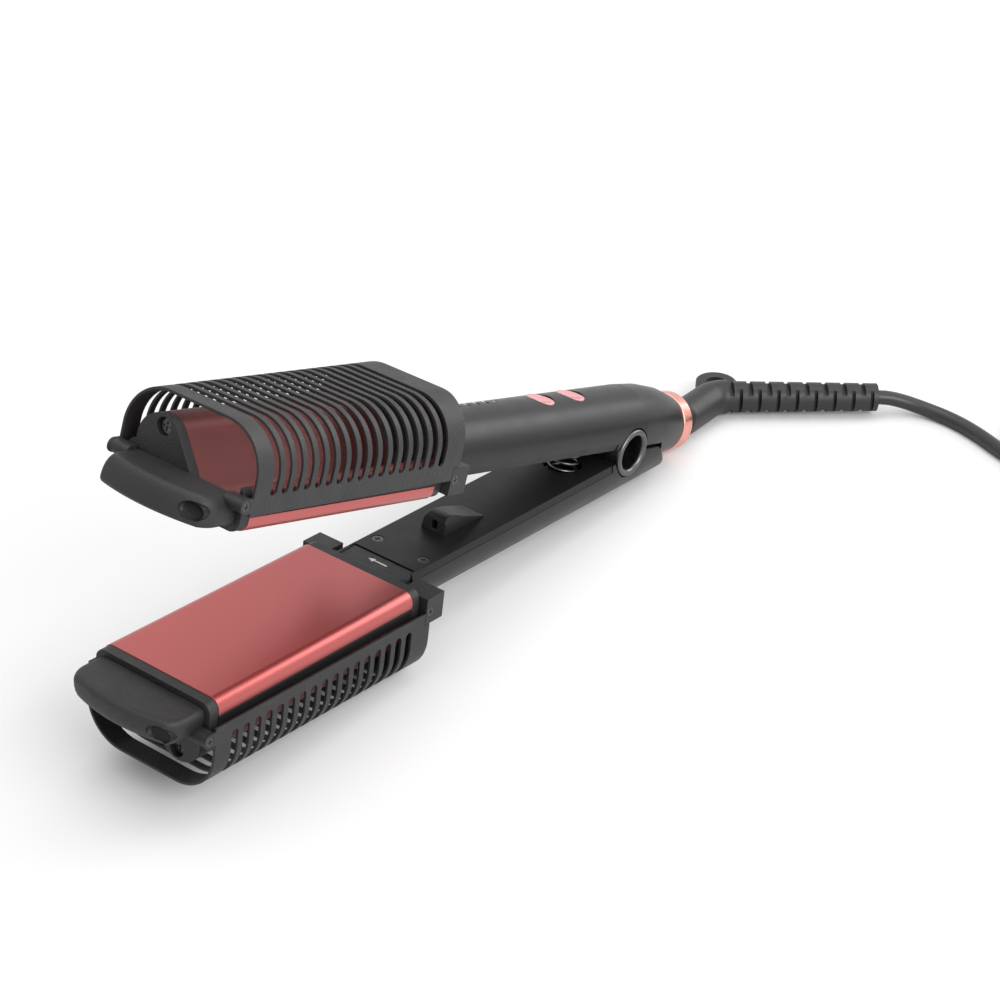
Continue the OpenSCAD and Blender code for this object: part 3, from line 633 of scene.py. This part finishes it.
def slot_tree():
    """Cuts a row of slots with round ends through the walls and floor of a cage shell."""
    tree, ports, end = shape_tree("cage_slots", ["Count", "First", "Pitch", "Width", "Top",
                                                 "Reach", "Depth"])
    level = maths(tree, "MULTIPLY", maths(tree, "ADD", ports["Top"],
                                          maths(tree, "DIVIDE", ports["Width"], 2.0)), -1.0)
    slab = add(tree, "GeometryNodeMeshCube", {"Size": vector(tree, ports["Width"],
                                                             ports["Reach"], ports["Depth"])})
    low = maths(tree, "SUBTRACT", level, maths(tree, "DIVIDE", ports["Depth"], 2.0))
    slab = add(tree, "GeometryNodeTransform", {"Geometry": slab.outputs["Mesh"],
                                               "Translation": vector(tree, z=low)})
    rod = add(tree, "GeometryNodeMeshCylinder", {
        "Vertices": 32, "Radius": maths(tree, "DIVIDE", ports["Width"], 2.0),
        "Depth": ports["Reach"]})
    rod = add(tree, "GeometryNodeTransform", {
        "Geometry": rod.outputs["Mesh"], "Translation": vector(tree, z=level),
        "Rotation": (math.pi / 2, 0, 0)})
    cutter = add(tree, "GeometryNodeMeshBoolean", operation="UNION", solver="EXACT")
    tree.links.new(slab.outputs[0], cutter.inputs["Mesh 2"])
    tree.links.new(rod.outputs[0], cutter.inputs["Mesh 2"])
    line = add(tree, "GeometryNodeMeshLine", {
        "Count": ports["Count"], "Start Location": vector(tree, ports["First"]),
        "Offset": vector(tree, ports["Pitch"])})
    cutters = add(tree, "GeometryNodeInstanceOnPoints", {"Points": line.outputs[0],
                                                         "Instance": cutter.outputs[0]})
    cutters = add(tree, "GeometryNodeRealizeInstances", {"Geometry": cutters.outputs[0]})
    cut = add(tree, "GeometryNodeMeshBoolean", {"Mesh 1": ports["Geometry"],
                                                "Mesh 2": cutters.outputs[0]},
              operation="DIFFERENCE", solver="EXACT")
    end_tree(tree, ports, end, cut.outputs[0])
    return tree


def screw_tree():
    """Puts a cross-recess screw on every point, turned to the point's aim."""
    tree, ports, end = shape_tree("screws", ["Head Radius", "Head Height", "Recess Width",
                                             "Recess Reach", "Shank Radius", "Shank Length"])

    def rod(radius, height, rise):
        """A round bar, raised along the screw."""
        made = add(tree, "GeometryNodeMeshCylinder", {"Vertices": 40, "Radius": radius,
                                                      "Depth": height})
        return add(tree, "GeometryNodeTransform", {
            "Geometry": made.outputs["Mesh"], "Translation": vector(tree, z=rise)}).outputs[0]

    head = rod(ports["Head Radius"], ports["Head Height"],
               maths(tree, "MULTIPLY", ports["Head Height"], -0.5))
    shank = rod(ports["Shank Radius"], ports["Shank Length"],
                maths(tree, "MULTIPLY", ports["Shank Length"], -0.5))
    cross = add(tree, "GeometryNodeMeshBoolean", operation="UNION", solver="EXACT")
    for size in ((ports["Recess Reach"], ports["Recess Width"]),
                 (ports["Recess Width"], ports["Recess Reach"])):
        bar = add(tree, "GeometryNodeMeshCube", {"Size": vector(tree, *size,
                                                                ports["Head Height"])})
        tree.links.new(bar.outputs["Mesh"], cross.inputs["Mesh 2"])
    union = add(tree, "GeometryNodeMeshBoolean", operation="UNION", solver="EXACT")
    tree.links.new(head, union.inputs["Mesh 2"])
    tree.links.new(shank, union.inputs["Mesh 2"])
    screw = add(tree, "GeometryNodeMeshBoolean", {"Mesh 1": union.outputs[0],
                                                  "Mesh 2": cross.outputs[0]},
                operation="DIFFERENCE", solver="EXACT")
    aim = add(tree, "GeometryNodeInputNamedAttribute", {"Name": "aim"},
              data_type="FLOAT_VECTOR")
    turn = add(tree, "FunctionNodeAlignRotationToVector", {"Vector": aim.outputs[0]}, axis="Z")
    spread = add(tree, "GeometryNodeInstanceOnPoints", {
        "Points": ports["Geometry"], "Instance": screw.outputs[0],
        "Rotation": turn.outputs[0]})
    end_tree(tree, ports, end, spread.outputs[0])
    return tree


def spring_tree():
    """A wound wire of constant radius."""
    tree, ports, end = shape_tree("wound_spring", ["Turns", "Radius", "Height", "Wire"])
    coil = add(tree, "GeometryNodeCurveSpiral", {
        "Resolution": 40, "Rotations": ports["Turns"], "Start Radius": ports["Radius"],
        "End Radius": ports["Radius"], "Height": ports["Height"]})
    wire = add(tree, "GeometryNodeCurvePrimitiveCircle", {
        "Resolution": 16, "Radius": maths(tree, "DIVIDE", ports["Wire"], 2.0)})
    swept = add(tree, "GeometryNodeCurveToMesh", {
        "Curve": coil.outputs[0], "Profile Curve": wire.outputs[0], "Fill Caps": True})
    end_tree(tree, ports, end, swept.outputs[0])
    return tree


def marks(name, entries):
    """A mesh of lone points, each with its place and its aim."""
    data = bpy.data.meshes.new(name)
    data.from_pydata([place for place, _ in entries], [], [])
    aim = data.attributes.new("aim", "FLOAT_VECTOR", "POINT")
    for value, (_, direction) in zip(aim.data, entries):
        value.vector = direction
    return data


# ---------- Moulded pieces ----------


def moulded(node, width, segments=2, sharp=30, finish=None):
    """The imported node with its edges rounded, in its own finish or a given one."""
    data = rounded(node + "_shape", merged_copy(node), width, segments, sharp)
    return to_scene(node + "_moulded", data, finish or SLOT_OF[node], BODY_OF[node], (node,))


def both_arms(names, width, segments=2, sharp=30):
    """The same moulded pieces on the upper and the lower arm."""
    for arm in ARMS:
        for name in names:
            moulded(arm + "_" + name, width, segments, sharp)


def cage_outline(inset, top, steps=20):
    """The cage's U from its left rim round the floor to its right rim."""
    w, d, r = HALF_CAGE - inset, CAGE_DEPTH - inset, CAGE_CORNER - inset
    points = [(-w, -top)]
    for side in (-1, 1):
        for i in range(steps + 1):
            t = math.pi / 2 * (i / steps if side < 0 else 1 - i / steps)
            points.append((side * (w - r + r * math.cos(t)), r - d - r * math.sin(t)))
    return points + [(w, -top)]


def cage_shell():
    """The cage before its slots: a bent sheet whose rear corners are cut back."""
    mesh = bmesh.new()
    outer, inner = cage_outline(0, 8), cage_outline(CAGE_WALL, 8)
    last = len(outer) - 1
    cut_back = [CAGE_END - max(0.0, abs(y) - CUT_FROM) * CUT_BACK / CUT_WIDTH for y, _ in outer]
    rings = [[[mesh.verts.new((x[i] if x else FRONT, y, z)) for i, (y, z) in enumerate(line)]
              for x in (None, cut_back)] for line in (outer, inner)]
    for i in range(last):
        for ring in rings:
            mesh.faces.new((ring[0][i], ring[1][i], ring[1][i + 1], ring[0][i + 1]))
        for at in (0, 1):
            mesh.faces.new((rings[0][at][i], rings[0][at][i + 1], rings[1][at][i + 1],
                            rings[1][at][i]))
    for i in (0, last):
        mesh.faces.new((rings[0][0][i], rings[0][1][i], rings[1][1][i], rings[1][0][i]))
    bmesh.ops.recalc_face_normals(mesh, faces=mesh.faces)
    return mesh


def screw_ear(rear, radius):
    """Outline of (x, z) of the rounded ear that holds the side screw at the tip."""
    x, z = SIDE_SCREWS[0]
    return [(rear, z + radius)] + arc(x, z, radius, 90, 270, 16) + [(rear, z - radius)]


class WAVER_OT_cages(bpy.types.Operator):
    """Bends the two cages and cuts their cooling slots"""

    bl_idname = "waver.cages"
    bl_label = "Cages"

    def execute(self, context):
        sizes = context.scene.waver_sizes
        slots = slot_tree()
        lean = (Matrix.Translation((FRONT, 0, 0)) @ Matrix.Rotation(CAGE_TILT, 4, "Y")
                @ Matrix.Translation((-FRONT, 0, 0)))
        for arm, matrix in ARMS.items():
            data = grown(arm + "_cage_slots", slots, "grained_black", {
                "Count": sizes.slots, "First": SLOT_FIRST, "Pitch": sizes.slot_pitch / MM,
                "Width": sizes.slot_width / MM, "Top": SLOT_TOP[arm],
                "Reach": 3 * HALF_CAGE, "Depth": 2 * CAGE_DEPTH},
                filled_mesh(arm + "_cage_shell", cage_shell()))
            data.transform(lean)
            steps = [("DIFFERENCE", box(*NECK_CUT))]
            for side in (-1, 1):
                steps.append(("UNION", prism(screw_ear(FRONT + 1.5, EAR_RADIUS["cage"]),
                                             side * (HALF_CAGE - CAGE_WALL), side * HALF_CAGE,
                                             "Y")))
            for side in (-1, 1):
                seat = prism(oval(SIDE_SCREWS[0], 4.0, 2.0), side * (HALF_CAGE - SEAT_DEPTH),
                             side * 40, "Y")
                steps.append(("DIFFERENCE", seat))
            data = carved(arm + "_cage_cut", data, steps)
            data = rounded(arm + "_cage_edges", placed(data, matrix), sizes.fine_edge, 2, 35)
            to_scene(arm + "_cage_slotted", data, "grained_black", arm + "_arm",
                     (arm + "_cage",))
        return {"FINISHED"}


def tip_ring(inset, steps=48):
    """Plan of the cool tip drawn in by inset: bowed front, round corners, straight rear."""
    x0 = FRONT - TIP_LENGTH + inset
    w, r = HALF_TIP - inset, TIP_CORNER - inset
    points = []
    for i in range(steps + 1):
        y = w * math.sin(math.pi * (i / steps - 0.5))
        front = x0 + TIP_BOW - math.sqrt(TIP_BOW ** 2 - y * y)
        over = abs(y) - (w - r)
        if over > 0:
            front = max(front, x0 + r - math.sqrt(max(0.0, r * r - over * over)))
        points.append((front, y))
    rear = FRONT - 0.4
    return points + [(rear, w), (rear, -w)]


def tip_body():
    """The tip as a stack of plans: a soft upper edge and a rounder, set-back lower one."""
    levels = [(-2.5, 3.2), (-2.56, 2.3), (-2.75, 1.45), (-3.1, 0.8), (-3.6, 0.35), (-4.3, 0.08),
              (-5.2, 0), (-7.6, 0.25), (-9.6, 0.75), (-11.3, 1.5), (-12.4, 2.3), (-13.1, 3.2),
              (-13.5, 4.6)]
    mesh = bmesh.new()
    rings = [[mesh.verts.new((x, y, z)) for x, y in tip_ring(inset)] for z, inset in levels]
    count_round = len(rings[0])
    mesh.faces.new(rings[0])
    mesh.faces.new(list(reversed(rings[-1])))
    for upper, lower in zip(rings, rings[1:]):
        for i in range(count_round):
            j = (i + 1) % count_round
            mesh.faces.new((upper[i], lower[i], lower[j], upper[j]))
    bmesh.ops.recalc_face_normals(mesh, faces=mesh.faces)
    return mesh


def dish():
    """An ellipsoid that hollows out the release button and the tip round it."""
    mesh = bmesh.new()
    bmesh.ops.create_uvsphere(mesh, u_segments=48, v_segments=24, radius=1,
                              matrix=Matrix.Translation((DISH_FRONT, *RELEASE))
                              @ Matrix.Diagonal((*DISH_RADII, 1)))
    return mesh


class WAVER_OT_tips(bpy.types.Operator):
    """Makes the cool tips with their release buttons"""

    bl_idname = "waver.tips"
    bl_label = "Cool tips"

    def execute(self, context):
        sizes = context.scene.waver_sizes
        for arm, matrix in ARMS.items():
            ear = screw_ear(FRONT - 0.5, EAR_RADIUS["tip"])
            steps = [("UNION", prism(ear, side * LUG[0], side * LUG[1], "Y"))
                     for side in (-1, 1)]
            steps.append(("DIFFERENCE", dish()))
            pocket = oval(RELEASE, RELEASE_SIZE[0] + 2 * RELEASE_GAP,
                          RELEASE_SIZE[1] + RELEASE_GAP)
            steps.append(("DIFFERENCE", prism(pocket, POCKET_FRONT, POCKET_REAR)))
            data = carved(arm + "_tip_cut", tip_body(), steps)
            data = rounded(arm + "_tip_edges", placed(data, matrix), sizes.edge, 3, 40)
            to_scene(arm + "_tip_shaped", data, "grained_black", arm + "_arm",
                     (arm + "_cool_tip",))
            node = arm + "_release_button"
            data = carved(node + "_dish", in_arm_space(node, matrix), [
                ("UNION", prism(oval(RELEASE, *RELEASE_SIZE), POCKET_FRONT - 0.1, BUTTON_JOIN)),
                ("DIFFERENCE", dish())])
            data = rounded(node + "_edges", placed(data, matrix), 0.08 * MM, 2, 40)
            to_scene(node + "_moulded", data, SLOT_OF[node], BODY_OF[node], (node,))
        return {"FINISHED"}


class WAVER_OT_arms(bpy.types.Operator):
    """Rounds the edges of the arm shells, covers, necks and wedge"""

    bl_idname = "waver.arms"
    bl_label = "Arms"

    def execute(self, context):
        sizes = context.scene.waver_sizes
        for node in ("upper_handle_shell", "lower_arm_shell"):
            moulded(node, sizes.fine_edge, 2, 40)
        both_arms(("inner_cover", "neck"), sizes.edge)
        moulded("centring_wedge", sizes.edge, 3)
        return {"FINISHED"}


class WAVER_OT_cores(bpy.types.Operator):
    """Rounds the plates, rails and end caps of the two cores"""

    bl_idname = "waver.cores"
    bl_label = "Plate cores"

    def execute(self, context):
        sizes = context.scene.waver_sizes
        both_arms(("flat_plate", "core_rails"), sizes.fine_edge)
        for arm in ARMS:
            # The wave plates get the darker coat, which holds painted shade
            moulded(arm + "_wave_plate", sizes.fine_edge, finish="wave_rose_painted_shade")
        both_arms(("front_cap", "rear_cap"), sizes.edge, 3)
        return {"FINISHED"}


class WAVER_OT_screws(bpy.types.Operator):
    """Sets the cover screws, side screws and cap screws"""

    bl_idname = "waver.screws"
    bl_label = "Screws"

    def execute(self, context):
        tree = screw_tree()
        edge = 0.12 * MM
        for arm, matrix in ARMS.items():
            x, y, z = COVER_SCREW
            rows = {
                "cover_screws": ([((x, side * y, z), (0, 0, 1)) for side in (-1, 1)],
                                 (2.4, 0.9, 0.65, 2.9, 0.95, 8.8), matrix, arm + "_arm"),
                "side_screws": ([((sx, side * (HALF_CAGE - 0.1), sz), (0, side, 0))
                                 for sx, sz in SIDE_SCREWS for side in (-1, 1)],
                                (1.9, 0.8, 0.5, 2.3, 1.15, 7.6), matrix, arm + "_arm"),
                "cap_screw": ([(CAP_SCREW, (-1, 0, 0))], (2.7, 1.2, 0.7, 3.4, 1.45, 10.0),
                              UPPER_CORE if arm == "upper" else LOWER, arm + "_core"),
            }
            labels = ("Head Radius", "Head Height", "Recess Width", "Recess Reach",
                      "Shank Radius", "Shank Length")
            for kind, (points, values, home, body) in rows.items():
                node = arm + "_" + kind
                data = grown(node + "_row", tree, "screw_steel", dict(zip(labels, values)),
                             marks(node + "_points", points))
                data = rounded(node + "_edges", placed(data, home), edge, 2, 40)
                to_scene(node + "_set", data, "screw_steel", body, (node,))
        return {"FINISHED"}


class WAVER_OT_hinge(bpy.types.Operator):
    """Makes the hollow hinge tube and winds the opening spring"""

    bl_idname = "waver.hinge"
    bl_label = "Hinge and spring"

    def execute(self, context):
        sizes = context.scene.waver_sizes
        half = [(14.75, 8.5), (14.75, 9.9), (14.9, 10.2), (15.3, 10.3), (16.1, 10.3),
                (16.6, 10.15), (16.95, 9.8), (17.12, 9.35), (17.15, 8.9), (17.0, 8.3),
                (16.7, 7.9), (16.2, 7.55), (15.4, 7.4)]
        profile = half + [(-at, r) for at, r in reversed(half)]
        data = rounded("hinge_tube_edges", placed(filled_mesh("hinge_tube_spun",
                                                              turned(profile, 96, "Y")), LOWER),
                       0.05 * MM, 1, 60)
        to_scene("hinge_tube_turned", data, "dark_chrome", "lower_arm", ("hinge_tube",))
        data = grown("spring_wire", spring_tree(), "spring_steel", {
            "Turns": sizes.spring_turns, "Radius": SPRING_RADIUS, "Height": 2 * SPRING_REACH,
            "Wire": sizes.spring_wire / MM})
        data.shade_smooth()
        data.set_sharp_from_angle(angle=SHARP_EDGE)
        opening = Vector(JOINTS["upper_core_turn"]["axis"]).angle(
            Vector(JOINTS["lower_core_turn"]["axis"]))
        home = LOWER @ Matrix.Rotation(opening / 2, 4, "Y") @ Matrix.Translation(
            (SPRING_SHIFT * MM + SPRING_X * MM, 0, -SPRING_REACH * MM))
        placed(data, home)
        spring = to_scene("opening_spring_wound", data, "spring_steel", "lower_arm",
                          ("opening_spring",))
        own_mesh(spring)
        return {"FINISHED"}


class WAVER_OT_controls(bpy.types.Operator):
    """Finishes the two buttons"""

    bl_idname = "waver.controls"
    bl_label = "Buttons"

    def execute(self, context):
        for node in ("power_button", "mode_button"):
            moulded(node, 0.5 * MM, 3)
        return {"FINISHED"}


class WAVER_OT_tail(bpy.types.Operator):
    """Turns the end ring and the swivel collar, and rounds the strain relief"""

    bl_idname = "waver.tail"
    bl_label = "Handle end"

    def execute(self, context):
        sizes = context.scene.waver_sizes
        home = UPPER @ Matrix.Translation((0, 0, TAIL_Z * MM))
        ring = ([(44.3, 8.68), (44.3, 10.15), (46.1, 10.15)]
                + arc(46.6, 12.5, 0.5, 180, 90) + arc(52.5, 12.5, 0.5, 90, 0)
                + [(53, 9.5), (52.6, 8.68)])
        data = rounded("end_ring_edges", placed(filled_mesh("end_ring_spun",
                                                            turned(ring, 128)), home),
                       0.12 * MM, 2, 40)
        to_scene("end_ring_turned", data, "rose_gold", "upper_arm", ("end_ring",))
        collar = [(41, 3.6), (41, 9.8), (43.8, 9.8), (43.8, 8.6)]
        for groove in (56.0, 58.4, 60.8):
            collar += arc(groove, 8.6, 0.45, 180, 360, 6)
        collar += arc(63.2, 7.8, 0.8, 90, 0) + [(64, 3.6)]
        data = rounded("collar_edges", placed(filled_mesh("collar_spun", turned(collar, 96)),
                                              home), 0.1 * MM, 1, 40)
        to_scene("swivel_collar_turned", data, "inner_black", "swivel_collar",
                 ("swivel_collar",))
        moulded("strain_relief", sizes.edge)
        return {"FINISHED"}


class WAVER_OT_plug(bpy.types.Operator):
    """Rounds the plug, its pins and the coil's tie"""

    bl_idname = "waver.plug"
    bl_label = "Plug and tie"

    def execute(self, context):
        sizes = context.scene.waver_sizes
        moulded("plug_body", 1.0 * MM, 3)
        moulded("plug_pins", sizes.fine_edge)
        moulded("coil_tie", sizes.edge)
        return {"FINISHED"}


class WAVER_OT_marks(bpy.types.Operator):
    """Prints the turning arrow on each neck"""

    bl_idname = "waver.marks"
    bl_label = "Arrows"

    def execute(self, context):
        middle = -148.2
        outline = [(middle - 0.35, -4.6), (middle + 0.35, -4.6), (middle + 0.35, 1.6),
                   (middle + 1.3, 1.6), (middle, 4.3), (middle - 1.3, 1.6),
                   (middle - 0.35, 1.6)]
        for arm, matrix in ARMS.items():
            data = placed(filled_mesh(arm + "_arrow_print",
                                      prism(outline, -2.45, -2.34, "Z")), matrix)
            to_scene(arm + "_arrow", data, "print_white", arm + "_arm")
        return {"FINISHED"}


# ---------- Lead ----------

# The lead's way in millimetres, in the row frame.
RELIEF_END = (252.54, -53.84, 8)
LEAD_ROUTE = [RELIEF_END, (256.5, -58.2, 7.5), (260.3, -63.2, 6.2), (263.2, -69, 4.8),
              (265, -75.5, 3.8), (265.5, -82, 3.4), (264.6, -90, 3.3), (262.6, -98, 3.3),
              (259.8, -106, 3.3), (256.5, -114, 3.4), (253, -124, 3.5), (249.5, -133.5, 3.7)]
COIL_AT = (290.5, -160)
COIL_LEVELS = (3.8, 10.2)
PLUG_ROUTE = [(244.6, -160, 10.2), (247, -175.8, 13), (254.8, -190, 16.2), (261, -195.8, 16.6),
              (268.4, -199.5, 16.6), (276.5, -201.3, 16.8), (284.9, -200.9, 17.5),
              (292.8, -198.4, 18.5), (299.9, -193.9, 19.4), (304.5, -189, 20),
              (307, -185.4, 20.3), (310, -180.2, 20.3)]


def coil_points(radius, turn):
    """Turns inward on the table, then outward on top, from 160 to 180 degrees."""
    down, climb, back = 3.561, 1 / 6, 3.328
    start = math.radians(160)
    steps = 18
    points = []
    for i in range(int(steps * (down + climb + back)) + 1):
        turns = i / steps
        inward = min(turns, down)
        outward = max(0.0, turns - down - climb)
        rise = min(1.0, max(0.0, (turns - down) / climb))
        lift = COIL_LEVELS[0] + (COIL_LEVELS[1] - COIL_LEVELS[0]) * (3 - 2 * rise) * rise ** 2
        r = radius / MM - turn / MM * (inward - outward)
        angle = start + 2 * math.pi * turns
        points.append((COIL_AT[0] + r * math.cos(angle), COIL_AT[1] + r * math.sin(angle), lift))
    return points


def lead_curve(name, points, diameter):
    """A round curve through points in millimetres."""
    curve = bpy.data.curves.new(name, "CURVE")
    curve.dimensions = "3D"
    curve.bevel_depth = diameter / 2
    curve.bevel_resolution = 4
    curve.resolution_u = 4
    curve.use_fill_caps = True
    spline = curve.splines.new("BEZIER")
    spline.bezier_points.add(len(points) - 1)
    for point, place in zip(spline.bezier_points, points):
        point.co = Vector(place) * MM
        point.handle_left_type = point.handle_right_type = "AUTO"
    return curve


class WAVER_OT_lead(bpy.types.Operator):
    """Lays the mains lead, wound up to its plug"""

    bl_idname = "waver.lead"
    bl_label = "Lead"

    def execute(self, context):
        sizes = context.scene.waver_sizes
        points = LEAD_ROUTE + coil_points(sizes.coil_radius, sizes.coil_turn) + PLUG_ROUTE
        data = lead_curve("lead", points, sizes.lead_diameter)
        lead = to_scene("lead", data, "lead_black", "upper_arm",
                        ("mains_lead", "lead_coil", "plug_lead"))
        return {"FINISHED"}


# ---------- Panel and registering ----------

STEPS = ["finishes", "stage", "cages", "tips", "arms", "cores", "screws", "hinge", "controls",
         "tail", "plug", "marks", "lead"]


class WAVER_PT_panel(bpy.types.Panel):
    """Lists the steps that build the waver"""

    bl_idname = "WAVER_PT_panel"
    bl_label = "Hair Waver"
    bl_space_type = "VIEW_3D"
    bl_region_type = "UI"
    bl_category = "Hair Waver"

    def draw(self, context):
        for group in (context.scene.waver_sizes, context.scene.waver_colours):
            for name in group.__annotations__:
                self.layout.prop(group, name)
        for step in STEPS:
            self.layout.operator("waver." + step)


CLASSES = [WaverSizes, WaverColours, WAVER_OT_finishes, WAVER_OT_stage, WAVER_OT_cages,
           WAVER_OT_tips, WAVER_OT_arms, WAVER_OT_cores, WAVER_OT_screws, WAVER_OT_hinge,
           WAVER_OT_controls, WAVER_OT_tail, WAVER_OT_plug, WAVER_OT_marks, WAVER_OT_lead,
           WAVER_PT_panel]


def register():
    """Adds the classes, sizes and colours to Blender."""
    for kind in CLASSES:
        bpy.utils.register_class(kind)
    bpy.types.Scene.waver_sizes = PointerProperty(type=WaverSizes)
    bpy.types.Scene.waver_colours = PointerProperty(type=WaverColours)


def unregister():
    """Takes away what register adds."""
    del bpy.types.Scene.waver_colours
    del bpy.types.Scene.waver_sizes
    for kind in reversed(CLASSES):
        bpy.utils.unregister_class(kind)


def main():
    """Builds the waver step by step."""
    register()
    for step in STEPS:
        getattr(bpy.ops.waver, step)()


if __name__ == "__main__":
    main()
